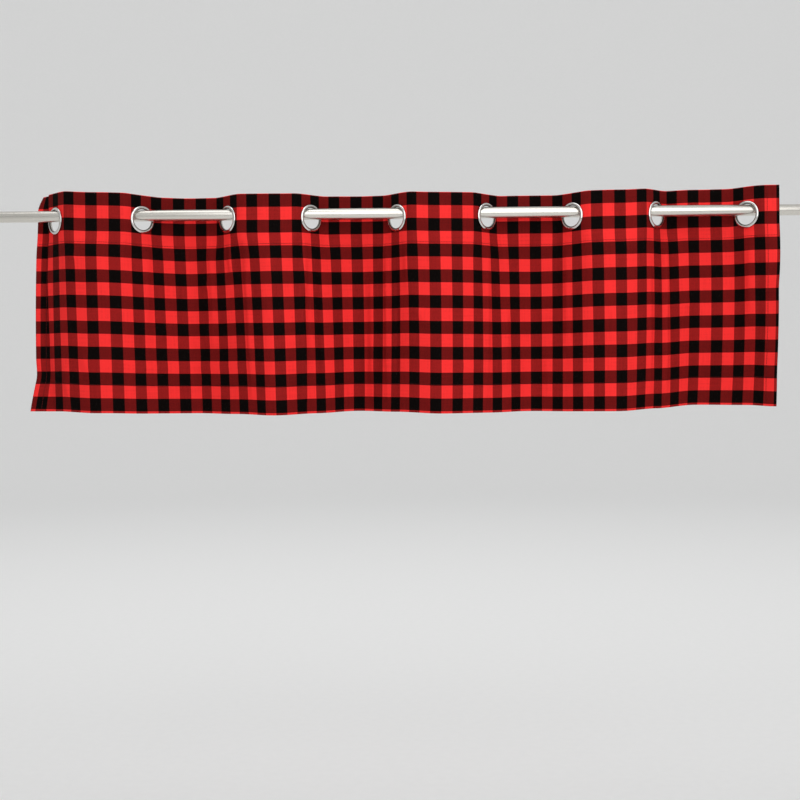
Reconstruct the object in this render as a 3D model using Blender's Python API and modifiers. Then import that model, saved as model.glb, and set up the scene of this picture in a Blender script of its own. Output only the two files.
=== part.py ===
"""A gathered window valance of check cloth that hangs by nine metal eyelets on a plain curtain rod.

The rod lies along X with its axis through the origin. The room is on the -Y side, the wall on the
+Y side and Z is up. The cloth is measured along its width in stripes of the check, from the first
whole stripe at its left, and down from its top edge.
"""

import math
from collections import namedtuple

import bmesh
import bpy
import numpy as np
from mathutils import Matrix, Vector

OBJECT_NAME = "window_valance"

# Check of the cloth: one stripe is a square of the check, a little narrower than it is tall.
STRIPE_WIDE = 0.0229
STRIPE_TALL = 0.0254
FIRST_STRIPE = -0.45
LAST_STRIPE = 74.25
ROWS_TALL = 17.2
CLOTH_THICK = 0.0012

# Rod, with flat ends.
ROD_RADIUS = 0.0111
ROD_LENGTH = 1.660
ROD_SIDES = 40

# Eyelet: both rings lie inside a round rim that runs around the hole.
RIM_CENTRE_RADIUS = 0.0240
RIM_RADIUS = 0.0035
BARREL_RADIUS = 0.0220
BARREL_BACK = 0.0020
PIECE_GAP = 0.0003
ROD_GAP = 0.00035
RING_SIDES = 24
FRONT_RIM_STEPS = 6
BACK_RIM_STEPS = 3

# Hanging cloth. The grip is the length of cloth that a ring holds flat on each side of its centre,
# and the ease is the length over which the cloth then bends to the side of its fold.
TOP_ABOVE_ROD = 0.0404
HEADING_DEPTH = 0.076
BLEND_DEPTH = 0.130
GRIP = 0.0285
GRIP_AT_HEM = 0.008
EASE = 0.020
EASE_AT_HEM = 0.045
TURN_ROUND = 0.030

# A row for each eyelet: its place along the cloth in stripes and along the rod, the slope of the
# cloth to the rod in degrees at the ring, just below the heading and at the hem, and how far the
# cloth under it drifts to the right at the hem and bows to the right at half its height.
Eyelet = namedtuple("Eyelet", "stripe along tilt tilt_below tilt_hem drift bow")
EYELETS = (
    Eyelet(2.55, -0.6870, 48, 44, 36, 0.0050, -0.0015),
    Eyelet(11.10, -0.5135, 44, 38, 32, 0.0095, 0.0000),
    Eyelet(19.65, -0.3430, 47, 37, 30, 0.0140, 0.0010),
    Eyelet(28.05, -0.1760, 45, 40, 38, 0.0090, 0.0015),
    Eyelet(36.75, -0.0045, 48, 44, 38, -0.0025, 0.0015),
    Eyelet(45.65, 0.1755, 44, 38, 28, 0.0015, 0.0020),
    Eyelet(54.05, 0.3460, 46, 42, 36, -0.0010, 0.0005),
    Eyelet(62.40, 0.5145, 44, 40, 33, -0.0025, 0.0025),
    Eyelet(71.30, 0.6950, 46, 45, 43, -0.0060, 0.0040),
)

# How much higher than the rest the cloth is held, at its edges, its eyelets and its folds.
Lift = namedtuple("Lift", "stripe height")
LIFTS = (
    Lift(-0.45, 0.0080),
    Lift(2.55, 0.0070),
    Lift(6.80, 0.0030),
    Lift(11.10, 0.0010),
    Lift(15.40, 0.0005),
    Lift(19.65, -0.0015),
    Lift(23.85, -0.0045),
    Lift(28.05, -0.0015),
    Lift(32.40, 0.0020),
    Lift(36.75, 0.0000),
    Lift(41.20, -0.0040),
    Lift(45.65, -0.0035),
    Lift(49.85, -0.0015),
    Lift(54.05, -0.0025),
    Lift(58.20, -0.0025),
    Lift(62.40, 0.0020),
    Lift(66.85, 0.0080),
    Lift(71.30, 0.0070),
    Lift(74.25, 0.0040),
)

# The free ends past the outer eyelets: slope at the elbow beside the eyelet and at the cloth's
# edge, in degrees, at some depths below the top edge. A positive slope leads on the way that the
# eyelet's own slope does, and a negative one turns back.
FlapRow = namedtuple("FlapRow", "depth elbow edge")
LEFT_FLAP = (
    FlapRow(0.000, 84, 42),
    FlapRow(0.024, 84, 8),
    FlapRow(0.076, 84, -6),
    FlapRow(0.372, 62, 16),
    FlapRow(0.437, 24, 6),
)
RIGHT_FLAP = (
    FlapRow(0.000, 36, 14),
    FlapRow(0.076, 36, 14),
    FlapRow(0.200, 52, 48),
    FlapRow(0.372, 54, 50),
    FlapRow(0.437, 48, 48),
)
FLAP_EASE = 0.007
ELBOW_LENGTH = 0.003
EDGE_EASE_SHARE = 0.5

# Mesh of the cloth: depths of its rows above the hem, and columns across a fold and a free end.
ROW_DEPTHS = (0.0, 0.024, 0.050, 0.076, 0.102, 0.130, 0.200, 0.285, 0.372)
FOLD_COLUMNS = 18
LEFT_FLAP_COLUMNS = 11
RIGHT_FLAP_COLUMNS = 8
CUTTER_DEPTH = 0.008
FINE_STEPS = 400
SOLVER_STEPS = 36
STEEPEST_SIDE = 60.0
SMOOTH_ANGLE = math.radians(40)


def smooth(t):
    """Eases from 0 to 1 as t goes from 0 to 1, level at both ends."""
    t = np.clip(t, 0.0, 1.0)
    return t * t * (3.0 - 2.0 * t)


def mix(a, b, share):
    return a + (b - a) * share


def panel_height():
    return ROWS_TALL * STRIPE_TALL


def hem_share(depth):
    """0 in the heading, 1 at the hem."""
    return max(0.0, (depth - HEADING_DEPTH) / (panel_height() - HEADING_DEPTH))


def tilt_at(eyelet, depth):
    """Slope of the cloth to the rod, in radians, on the line below an eyelet."""
    below = smooth((depth - HEADING_DEPTH) / (BLEND_DEPTH - HEADING_DEPTH))
    lower = max(0.0, (depth - BLEND_DEPTH) / (panel_height() - BLEND_DEPTH))
    degrees = mix(mix(eyelet.tilt, eyelet.tilt_below, below), eyelet.tilt_hem, lower)
    return math.radians(degrees)


def along_at(eyelet, depth):
    """Place along the rod of the cloth's line below an eyelet."""
    share = hem_share(depth)
    return eyelet.along + eyelet.drift * share + eyelet.bow * 4.0 * share * (1.0 - share)


def path(distances, angles):
    """Plan of the cloth: runs along X by each slope's cosine and along Y by its sine."""
    steps = np.diff(distances)
    middles = (angles[1:] + angles[:-1]) / 2.0
    x = np.concatenate(([0.0], np.cumsum(steps * np.cos(middles))))
    y = np.concatenate(([0.0], np.cumsum(steps * np.sin(middles))))
    return x, y


def fold_angles(u, first_tilt, last_tilt, depth, turn, side):
    """Slopes across one fold: steep at each eyelet, gentle on the sides and level at its turn."""
    share = hem_share(depth)
    grip = mix(GRIP, GRIP_AT_HEM, share)
    ease = mix(EASE, EASE_AT_HEM, share)
    leaving = 1.0 - smooth((u - grip) / ease)
    arriving = smooth((u - u[-1] + grip + ease) / ease)
    bend = 1.0 - 2.0 * smooth((u - turn + TURN_ROUND) / (2.0 * TURN_ROUND))
    return first_tilt * leaving + side * bend * (1.0 - leaving - arriving) - last_tilt * arriving


def turned_fold(u, first_tilt, last_tilt, depth, side):
    """The fold with this side slope, its turn placed so that it comes back to the rod's plane."""
    low, high = 0.0, u[-1]
    for _ in range(SOLVER_STEPS):
        turn = (low + high) / 2.0
        x, y = path(u, fold_angles(u, first_tilt, last_tilt, depth, turn, side))
        if y[-1] > 0.0:
            high = turn
        else:
            low = turn
    return x, y


def fold_path(left, right, depth):
    """Plan of the fold between two eyelets, its sides as steep as the distance between them needs."""
    u = np.linspace(0.0, (right.stripe - left.stripe) * STRIPE_WIDE, FINE_STEPS)
    span = along_at(right, depth) - along_at(left, depth)
    first_tilt, last_tilt = tilt_at(left, depth), tilt_at(right, depth)
    low, high = 0.0, math.radians(STEEPEST_SIDE)
    for _ in range(SOLVER_STEPS):
        side = (low + high) / 2.0
        x, y = turned_fold(u, first_tilt, last_tilt, depth, side)
        if x[-1] < span:
            high = side
        else:
            low = side
    return u, x, y


def flap_path(eyelet, rows, length, depth):
    """Plan of a free end from its eyelet to the cloth's edge, both counted away from the eyelet."""
    depths = [row.depth for row in rows]
    elbow = math.radians(np.interp(depth, depths, [row.elbow for row in rows]))
    edge = math.radians(np.interp(depth, depths, [row.edge for row in rows]))
    grip = mix(GRIP, GRIP_AT_HEM, hem_share(depth))
    u = np.linspace(0.0, length, FINE_STEPS)
    to_elbow = smooth((u - grip) / FLAP_EASE)
    from_elbow = grip + FLAP_EASE + ELBOW_LENGTH
    to_edge = smooth((u - from_elbow) / ((length - from_elbow) * EDGE_EASE_SHARE))
    angles = mix(mix(tilt_at(eyelet, depth), elbow, to_elbow), edge, to_edge)
    x, y = path(u, angles)
    return u, x, y


def plan_at(depth):
    """Stripe, X and Y of the cloth's points at this depth, from the left edge to the right."""
    first, last = EYELETS[0], EYELETS[-1]
    left_length = (first.stripe - FIRST_STRIPE) * STRIPE_WIDE
    u, x, y = flap_path(first, LEFT_FLAP, left_length, depth)
    wanted = flap_columns(left_length, LEFT_FLAP_COLUMNS)[::-1]
    stripes = [first.stripe - wanted / STRIPE_WIDE]
    along = [along_at(first, depth) - np.interp(wanted, u, x)]
    back = [np.interp(wanted, u, y)]
    for number, (left, right) in enumerate(zip(EYELETS, EYELETS[1:])):
        side_of_rod = -1.0 if number % 2 == 0 else 1.0
        u, x, y = fold_path(left, right, depth)
        wanted = fold_columns(u[-1])[1:]
        stripes.append(left.stripe + wanted / STRIPE_WIDE)
        along.append(along_at(left, depth) + np.interp(wanted, u, x))
        back.append(side_of_rod * np.interp(wanted, u, y))
    right_length = (LAST_STRIPE - last.stripe) * STRIPE_WIDE
    u, x, y = flap_path(last, RIGHT_FLAP, right_length, depth)
    wanted = flap_columns(right_length, RIGHT_FLAP_COLUMNS)[1:]
    stripes.append(last.stripe + wanted / STRIPE_WIDE)
    along.append(along_at(last, depth) + np.interp(wanted, u, x))
    back.append(-np.interp(wanted, u, y))
    return np.concatenate(stripes), np.concatenate(along), np.concatenate(back)


def fold_columns(length):
    """Distances of the mesh's columns across a fold, with one at the edge of each ring's grip."""
    inner = np.linspace(GRIP, length - GRIP, FOLD_COLUMNS - 4)
    return np.concatenate(([0.0, GRIP / 2.0], inner, [length - GRIP / 2.0, length]))


def flap_columns(length, count):
    """Distances of the mesh's columns from the eyelet out to the cloth's edge."""
    return np.concatenate(([0.0, GRIP / 2.0], np.linspace(GRIP, length, count - 2)))


def lift_at(stripes):
    """Lift of the cloth at these stripes, eased between the rows of the table."""
    places = np.array([row.stripe for row in LIFTS])
    heights = np.array([row.height for row in LIFTS])
    row = np.clip(np.searchsorted(places, stripes, side="right") - 1, 0, len(places) - 2)
    share = smooth((stripes - places[row]) / (places[row + 1] - places[row]))
    return mix(heights[row], heights[row + 1], share)


def new_object(name, mesh, collection):
    made = bpy.data.objects.new(name, mesh)
    collection.objects.link(made)
    return made


def new_collection(name):
    made = bpy.data.collections.new(name)
    bpy.context.scene.collection.children.link(made)
    return made


def plain_material(name, colour, metallic, roughness):
    made = bpy.data.materials.new(name)
    made.use_nodes = True
    shader = made.node_tree.nodes["Principled BSDF"]
    shader.inputs["Base Color"].default_value = (*colour, 1.0)
    shader.inputs["Metallic"].default_value = metallic
    shader.inputs["Roughness"].default_value = roughness
    return made


def panel_mesh():
    """The hung cloth as an open surface: a flat grid whose points take their hanging places."""
    depths = (*ROW_DEPTHS, panel_height())
    plans = [plan_at(depth) for depth in depths]
    columns = len(plans[0][0]) - 1
    rows = len(depths) - 1
    grid = bmesh.new()
    bmesh.ops.create_grid(grid, x_segments=columns, y_segments=rows, size=1.0)
    for vert in grid.verts:
        column = round((vert.co.x + 1.0) / 2.0 * columns)
        row = round((1.0 - vert.co.y) / 2.0 * rows)
        stripes, along, back = plans[row]
        height = TOP_ABOVE_ROD + lift_at(stripes[column]) - depths[row]
        vert.co = Vector((along[column], back[column], height))
    mesh = bpy.data.meshes.new("valance_panel")
    grid.to_mesh(mesh)
    grid.free()
    return mesh


def ring_drop(tilt):
    """How far an eyelet's centre hangs below the rod's axis when its rim rests on the rod."""
    tall = RIM_CENTRE_RADIUS
    wide = RIM_CENTRE_RADIUS * math.sin(tilt)
    reach = ROD_RADIUS + RIM_RADIUS + ROD_GAP
    drop = math.sqrt((tall ** 2 - wide ** 2) * (1.0 - (reach / wide) ** 2))
    touches_at_sides = tall * drop < tall ** 2 - wide ** 2
    return drop if touches_at_sides else tall - reach


def eyelet_frame(number, eyelet):
    """Place of an eyelet: X along the cloth, Y up and Z out of the cloth's face to the room."""
    tilt = math.radians(eyelet.tilt) * (-1.0 if number % 2 == 0 else 1.0)
    along = Vector((math.cos(tilt), math.sin(tilt), 0.0))
    up = Vector((0.0, 0.0, 1.0))
    turned = Matrix((along, up, along.cross(up))).transposed().to_4x4()
    return Matrix.Translation((eyelet.along, 0.0, -ring_drop(abs(tilt)))) @ turned


def rim_points(first_degrees, last_degrees, steps):
    """Points of the rim's round section, counted from its inner side over the face to the outer."""
    angles = np.radians(np.linspace(first_degrees, last_degrees, steps + 1))
    return [(RIM_CENTRE_RADIUS - RIM_RADIUS * math.cos(a), RIM_RADIUS * math.sin(a)) for a in angles]


def ring_mesh(name, profile):
    """A closed section, listed down its outer side and up its inner side, as a ring's mesh."""
    mesh = bpy.data.meshes.new(name)
    points = [(radius, 0.0, height) for radius, height in profile]
    edges = [(i, (i + 1) % len(points)) for i in range(len(points))]
    mesh.from_pydata(points, edges, [])
    return mesh


def front_ring_mesh():
    """Domed flange on the cloth's face, in one piece with the barrel through the hole."""
    face = CLOTH_THICK / 2.0 + PIECE_GAP
    outer = math.degrees(math.pi - math.asin(face / RIM_RADIUS))
    inner = -math.degrees(math.asin(BARREL_BACK / RIM_RADIUS))
    rim = rim_points(inner, outer, FRONT_RIM_STEPS)
    barrel = [(BARREL_RADIUS, face), (BARREL_RADIUS, -BARREL_BACK)]
    return ring_mesh("eyelet_front_ring", [*rim, *barrel])


def back_ring_mesh():
    """Domed washer on the cloth's back, around the barrel's end."""
    face = CLOTH_THICK / 2.0 + PIECE_GAP
    bore = BARREL_RADIUS + PIECE_GAP
    outer = math.degrees(math.pi - math.asin(face / RIM_RADIUS))
    inner = math.degrees(math.acos((RIM_CENTRE_RADIUS - bore) / RIM_RADIUS))
    rim = [(radius, -height) for radius, height in rim_points(inner, outer, BACK_RIM_STEPS)]
    return ring_mesh("eyelet_back_ring", [*rim[::-1], (bore, -face)])


def turned(made):
    """Turns a ring's section around its axis."""
    screw = made.modifiers.new("Turn", "SCREW")
    screw.steps = RING_SIDES
    screw.render_steps = RING_SIDES
    screw.use_merge_vertices = True
    screw.merge_threshold = 1e-5
    screw.use_smooth_shade = True


def make_eyelets(parts):
    """Nine eyelets, each a front and a back ring that share their meshes with the others."""
    metal = plain_material("polished_nickel", (0.80, 0.79, 0.77), 1.0, 0.16)
    fronts, backs = front_ring_mesh(), back_ring_mesh()
    fronts.materials.append(metal)
    backs.materials.append(metal)
    for number, eyelet in enumerate(EYELETS):
        for kind, mesh in (("front", fronts), ("back", backs)):
            ring = new_object(f"eyelet_{kind}_{number + 1}", mesh, parts)
            ring.matrix_world = eyelet_frame(number, eyelet)
            turned(ring)


def make_hole_cutters(cutters):
    """One cutter of nine round plugs, where the cloth is cut for the barrels."""
    plugs = bmesh.new()
    for number, eyelet in enumerate(EYELETS):
        bmesh.ops.create_cone(
            plugs,
            cap_ends=True,
            segments=RING_SIDES,
            radius1=BARREL_RADIUS + PIECE_GAP,
            radius2=BARREL_RADIUS + PIECE_GAP,
            depth=CUTTER_DEPTH,
            matrix=eyelet_frame(number, eyelet),
        )
    mesh = bpy.data.meshes.new("eyelet_holes")
    plugs.to_mesh(mesh)
    plugs.free()
    made = new_object("eyelet_holes", mesh, cutters)
    made.hide_render = True
    made.display_type = "WIRE"
    return made


def make_panel(parts, cutters):
    """The cloth with its hems, as a sheet with a hole at each eyelet."""
    panel = new_object("valance_panel", panel_mesh(), parts)
    panel.data.materials.append(plain_material("red_black_check", (0.42, 0.02, 0.03), 0.0, 0.9))
    panel.data.shade_smooth()
    sheet = panel.modifiers.new("Sheet", "SOLIDIFY")
    sheet.thickness = CLOTH_THICK
    sheet.offset = 0.0
    sheet.use_even_offset = True
    holes = panel.modifiers.new("Holes", "BOOLEAN")
    holes.operation = "DIFFERENCE"
    holes.solver = "EXACT"
    holes.object = make_hole_cutters(cutters)


def make_rod(parts):
    """A plain round rod along X with flat ends."""
    rod = bmesh.new()
    bmesh.ops.create_cone(
        rod,
        cap_ends=True,
        segments=ROD_SIDES,
        radius1=ROD_RADIUS,
        radius2=ROD_RADIUS,
        depth=ROD_LENGTH,
        matrix=Matrix.Rotation(math.pi / 2.0, 4, "Y"),
    )
    mesh = bpy.data.meshes.new("curtain_rod")
    rod.to_mesh(mesh)
    rod.free()
    mesh.materials.append(plain_material("satin_steel", (0.62, 0.61, 0.59), 1.0, 0.28))
    mesh.shade_smooth()
    mesh.set_sharp_from_angle(angle=SMOOTH_ANGLE)
    new_object("curtain_rod", mesh, parts)


def main():
    for old in list(bpy.data.objects):
        bpy.data.objects.remove(old, do_unlink=True)
    parts = new_collection(OBJECT_NAME)
    cutters = new_collection("cutters")
    cutters.hide_render = True
    make_panel(parts, cutters)
    make_rod(parts)
    make_eyelets(parts)


main()
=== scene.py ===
# %% [markdown]
# # A check window valance on its curtain rod
#
# A valance is a short curtain that dresses the top of a window. This one is cotton woven in a red
# and black check. Nine metal eyelets are pressed through its heading, and the rod is threaded
# through them, in front of the cloth and behind it by turns.
#
# The frame that this script opens is a set of plain solids with the true sizes and the true hang.
# The script lays the finished pieces over them: a fine sheet of cloth with its hems and creases,
# the thread that holds the hems, turned metal rings and a satin rod.

import math
from collections import namedtuple

import bmesh
import bpy
import numpy as np
from mathutils import Matrix, Vector


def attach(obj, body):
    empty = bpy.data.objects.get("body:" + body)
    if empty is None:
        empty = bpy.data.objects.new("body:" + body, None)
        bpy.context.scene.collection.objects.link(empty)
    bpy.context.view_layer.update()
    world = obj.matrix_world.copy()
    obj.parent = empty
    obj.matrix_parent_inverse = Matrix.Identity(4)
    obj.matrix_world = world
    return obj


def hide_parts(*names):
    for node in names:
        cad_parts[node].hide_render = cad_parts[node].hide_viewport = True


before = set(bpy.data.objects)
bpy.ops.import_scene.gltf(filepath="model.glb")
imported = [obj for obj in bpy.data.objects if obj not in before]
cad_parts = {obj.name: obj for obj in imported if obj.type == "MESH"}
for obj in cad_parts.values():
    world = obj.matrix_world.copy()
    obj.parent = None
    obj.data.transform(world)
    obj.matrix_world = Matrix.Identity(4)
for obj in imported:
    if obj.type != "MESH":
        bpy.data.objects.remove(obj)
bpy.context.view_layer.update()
print("frame opened with", len(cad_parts), "solids")

# %% [markdown]
# ## How the cloth hangs
#
# Everything about the cloth is measured the way its maker would: across, in stripes of the check,
# and down, in depth below the top edge. A table says where each eyelet sits on the cloth and where
# it hangs on the rod. The numbers are the ones that the frame was built from, so that the fine
# cloth and the plain solid agree.

# %% Sizes of the cloth, its hang and the eyelets
STRIPE_WIDE = 0.0229
STRIPE_TALL = 0.0254
FIRST_STRIPE = -0.45
LAST_STRIPE = 74.25
ROWS_TALL = 17.2
PANEL_TALL = ROWS_TALL * STRIPE_TALL
HEM_THICK = 0.0012
SINGLE_THICK = 0.0006

ROD_RADIUS = 0.0111
ROD_LENGTH = 1.660
RIM_CENTRE_RADIUS = 0.0240
RIM_RADIUS = 0.0035
ROD_GAP = 0.00035

TOP_ABOVE_ROD = 0.0404
HEADING_DEPTH = 0.076
BLEND_DEPTH = 0.130
GRIP = 0.0285
GRIP_AT_HEM = 0.008
EASE = 0.020
EASE_AT_HEM = 0.045
TURN_ROUND = 0.030

# Stripe and place along the rod, slope of the cloth in degrees at the ring, under the heading and
# at the hem, drift of the hem to the right, and bow to the right at half the height.
Eyelet = namedtuple("Eyelet", "stripe along tilt tilt_below tilt_hem drift bow")
EYELETS = (
    Eyelet(2.55, -0.6870, 48, 44, 36, 0.0050, -0.0015),
    Eyelet(11.10, -0.5135, 44, 38, 32, 0.0095, 0.0000),
    Eyelet(19.65, -0.3430, 47, 37, 30, 0.0140, 0.0010),
    Eyelet(28.05, -0.1760, 45, 40, 38, 0.0090, 0.0015),
    Eyelet(36.75, -0.0045, 48, 44, 38, -0.0025, 0.0015),
    Eyelet(45.65, 0.1755, 44, 38, 28, 0.0015, 0.0020),
    Eyelet(54.05, 0.3460, 46, 42, 36, -0.0010, 0.0005),
    Eyelet(62.40, 0.5145, 44, 40, 33, -0.0025, 0.0025),
    Eyelet(71.30, 0.6950, 46, 45, 43, -0.0060, 0.0040),
)

# How much higher than the rest the cloth is held, at its edges, its eyelets and its folds.
Lift = namedtuple("Lift", "stripe height")
LIFTS = (
    Lift(-0.45, 0.0080),
    Lift(2.55, 0.0070),
    Lift(6.80, 0.0030),
    Lift(11.10, 0.0010),
    Lift(15.40, 0.0005),
    Lift(19.65, -0.0015),
    Lift(23.85, -0.0045),
    Lift(28.05, -0.0015),
    Lift(32.40, 0.0020),
    Lift(36.75, 0.0000),
    Lift(41.20, -0.0040),
    Lift(45.65, -0.0035),
    Lift(49.85, -0.0015),
    Lift(54.05, -0.0025),
    Lift(58.20, -0.0025),
    Lift(62.40, 0.0020),
    Lift(66.85, 0.0080),
    Lift(71.30, 0.0070),
    Lift(74.25, 0.0040),
)

# Slopes of the two free ends at the elbow beside the eyelet and at the edge, at some depths.
FlapRow = namedtuple("FlapRow", "depth elbow edge")
LEFT_FLAP = (
    FlapRow(0.000, 84, 42),
    FlapRow(0.024, 84, 8),
    FlapRow(0.076, 84, -6),
    FlapRow(0.372, 62, 16),
    FlapRow(0.437, 24, 6),
)
RIGHT_FLAP = (
    FlapRow(0.000, 36, 14),
    FlapRow(0.076, 36, 14),
    FlapRow(0.200, 52, 48),
    FlapRow(0.372, 54, 50),
    FlapRow(0.437, 48, 48),
)
FLAP_EASE = 0.007
ELBOW_LENGTH = 0.003
EDGE_EASE_SHARE = 0.5

# %% [markdown]
# ## The line of the folds
#
# Seen from above, hung cloth is one long curve whose length never changes: it crosses the rod at
# each eyelet, swells out to one side and comes back. So instead of drawing waves, the script
# bends a strip of the right length. Two searches do the fitting: one moves the turn of the fold
# until the strip comes back to the rod, the other changes how steep its sides are until it
# spans the distance between its two eyelets.


# %% Slopes along one fold
def smooth(t):
    """Eases from 0 to 1 as t goes from 0 to 1, level at both ends."""
    t = np.clip(t, 0.0, 1.0)
    return t * t * (3.0 - 2.0 * t)


def mix(a, b, share):
    """a where share is 0 and b where it is 1."""
    return a + (b - a) * share


def hem_share(depth):
    """0 in the heading, 1 at the hem."""
    return max(0.0, (depth - HEADING_DEPTH) / (PANEL_TALL - HEADING_DEPTH))


def tilt_at(eyelet, depth):
    """Slope of the cloth to the rod, in radians, on the line below an eyelet."""
    below = smooth((depth - HEADING_DEPTH) / (BLEND_DEPTH - HEADING_DEPTH))
    lower = max(0.0, (depth - BLEND_DEPTH) / (PANEL_TALL - BLEND_DEPTH))
    degrees = mix(mix(eyelet.tilt, eyelet.tilt_below, below), eyelet.tilt_hem, lower)
    return math.radians(degrees)


def along_at(eyelet, depth):
    """Place along the rod of the cloth's line below an eyelet."""
    share = hem_share(depth)
    return eyelet.along + eyelet.drift * share + eyelet.bow * 4.0 * share * (1.0 - share)


def lift_at(stripes):
    """Lift of the cloth at these stripes, eased between the rows of the table."""
    places = np.array([row.stripe for row in LIFTS])
    heights = np.array([row.height for row in LIFTS])
    row = np.clip(np.searchsorted(places, stripes, side="right") - 1, 0, len(places) - 2)
    share = smooth((stripes - places[row]) / (places[row + 1] - places[row]))
    return mix(heights[row], heights[row + 1], share)


def path(distances, angles):
    """Plan of the cloth: runs along X by each slope's cosine and along Y by its sine."""
    steps = np.diff(distances)
    middles = (angles[1:] + angles[:-1]) / 2.0
    x = np.concatenate(([0.0], np.cumsum(steps * np.cos(middles))))
    y = np.concatenate(([0.0], np.cumsum(steps * np.sin(middles))))
    return x, y


def fold_angles(u, first_tilt, last_tilt, depth, turn, side):
    """Slopes across one fold: steep at each eyelet, gentle on the sides and level at its turn."""
    share = hem_share(depth)
    grip = mix(GRIP, GRIP_AT_HEM, share)
    ease = mix(EASE, EASE_AT_HEM, share)
    leaving = 1.0 - smooth((u - grip) / ease)
    arriving = smooth((u - u[-1] + grip + ease) / ease)
    bend = 1.0 - 2.0 * smooth((u - turn + TURN_ROUND) / (2.0 * TURN_ROUND))
    return first_tilt * leaving + side * bend * (1.0 - leaving - arriving) - last_tilt * arriving


# %% Fit each fold to its two eyelets
FINE_STEPS = 300
SOLVER_STEPS = 24
STEEPEST_SIDE = math.radians(60.0)


def turned_fold(u, first_tilt, last_tilt, depth, side):
    """The fold with this side slope, its turn placed so that it comes back to the rod's plane."""
    low, high = 0.0, u[-1]
    for _ in range(SOLVER_STEPS):
        turn = (low + high) / 2.0
        x, y = path(u, fold_angles(u, first_tilt, last_tilt, depth, turn, side))
        if y[-1] > 0.0:
            high = turn
        else:
            low = turn
    return x, y


def fold_path(left, right, depth):
    """Plan of the fold between two eyelets, as steep as the distance between them needs."""
    u = np.linspace(0.0, (right.stripe - left.stripe) * STRIPE_WIDE, FINE_STEPS)
    span = along_at(right, depth) - along_at(left, depth)
    first_tilt, last_tilt = tilt_at(left, depth), tilt_at(right, depth)
    low, high = 0.0, STEEPEST_SIDE
    for _ in range(SOLVER_STEPS):
        side = (low + high) / 2.0
        x, y = turned_fold(u, first_tilt, last_tilt, depth, side)
        if x[-1] < span:
            high = side
        else:
            low = side
    return u, x, y


def flap_path(eyelet, rows, length, depth):
    """Plan of a free end from its eyelet to the cloth's edge, counted away from the eyelet."""
    depths = [row.depth for row in rows]
    elbow = math.radians(np.interp(depth, depths, [row.elbow for row in rows]))
    edge = math.radians(np.interp(depth, depths, [row.edge for row in rows]))
    grip = mix(GRIP, GRIP_AT_HEM, hem_share(depth))
    u = np.linspace(0.0, length, FINE_STEPS)
    to_elbow = smooth((u - grip) / FLAP_EASE)
    from_elbow = grip + FLAP_EASE + ELBOW_LENGTH
    to_edge = smooth((u - from_elbow) / ((length - from_elbow) * EDGE_EASE_SHARE))
    angles = mix(mix(tilt_at(eyelet, depth), elbow, to_elbow), edge, to_edge)
    x, y = path(u, angles)
    return u, x, y


# %% Plan of the whole cloth at one depth
def plan_at(depth, stripes):
    """X and Y of the cloth at this depth for a row of stripes, from left to right."""
    first, last = EYELETS[0], EYELETS[-1]
    along, back = np.zeros(len(stripes)), np.zeros(len(stripes))
    u, x, y = flap_path(first, LEFT_FLAP, (first.stripe - FIRST_STRIPE) * STRIPE_WIDE, depth)
    here = stripes < first.stripe
    away = (first.stripe - stripes[here]) * STRIPE_WIDE
    along[here] = along_at(first, depth) - np.interp(away, u, x)
    back[here] = np.interp(away, u, y)
    for number, (left, right) in enumerate(zip(EYELETS, EYELETS[1:])):
        side_of_rod = -1.0 if number % 2 == 0 else 1.0
        u, x, y = fold_path(left, right, depth)
        here = (stripes >= left.stripe) & (stripes < right.stripe)
        away = (stripes[here] - left.stripe) * STRIPE_WIDE
        along[here] = along_at(left, depth) + np.interp(away, u, x)
        back[here] = side_of_rod * np.interp(away, u, y)
    u, x, y = flap_path(last, RIGHT_FLAP, (LAST_STRIPE - last.stripe) * STRIPE_WIDE, depth)
    here = stripes >= last.stripe
    away = (stripes[here] - last.stripe) * STRIPE_WIDE
    along[here] = along_at(last, depth) + np.interp(away, u, x)
    back[here] = -np.interp(away, u, y)
    return along, back


# The depths are close together where the stiff heading gives way to the cloth below it, and again
# near the hem.
PLAN_DEPTHS = np.array(
    [0.0, 0.012, 0.024, 0.050, 0.076, 0.085, 0.094, 0.103, 0.112, 0.121, 0.130]
    + [0.165, 0.200, 0.240, 0.285, 0.330, 0.372, 0.388, 0.404, 0.420, PANEL_TALL]
)
PLAN_STEPS = 1801
PLAN_STRIPES = np.linspace(FIRST_STRIPE, LAST_STRIPE, PLAN_STEPS)
PLANS = np.array([plan_at(depth, PLAN_STRIPES) for depth in PLAN_DEPTHS])
print("folds fitted at", len(PLAN_DEPTHS), "depths")

# %% [markdown]
# ## Creases and dimples
#
# Cotton that has been folded and shipped keeps soft creases, and a heading that is held at nine
# points drags the cloth below it into faint vertical lines. No two of them are alike, so they are
# charted one by one: where a crease runs on the check, how wide it is and how far it rises towards
# the room, or sinks where the number is negative.

# %% Chart of the creases
CREASE_FLOOR = 0.35
FADE_IN = 0.25
FADE_OUT = 0.35
MILLIMETRE = 0.001

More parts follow.
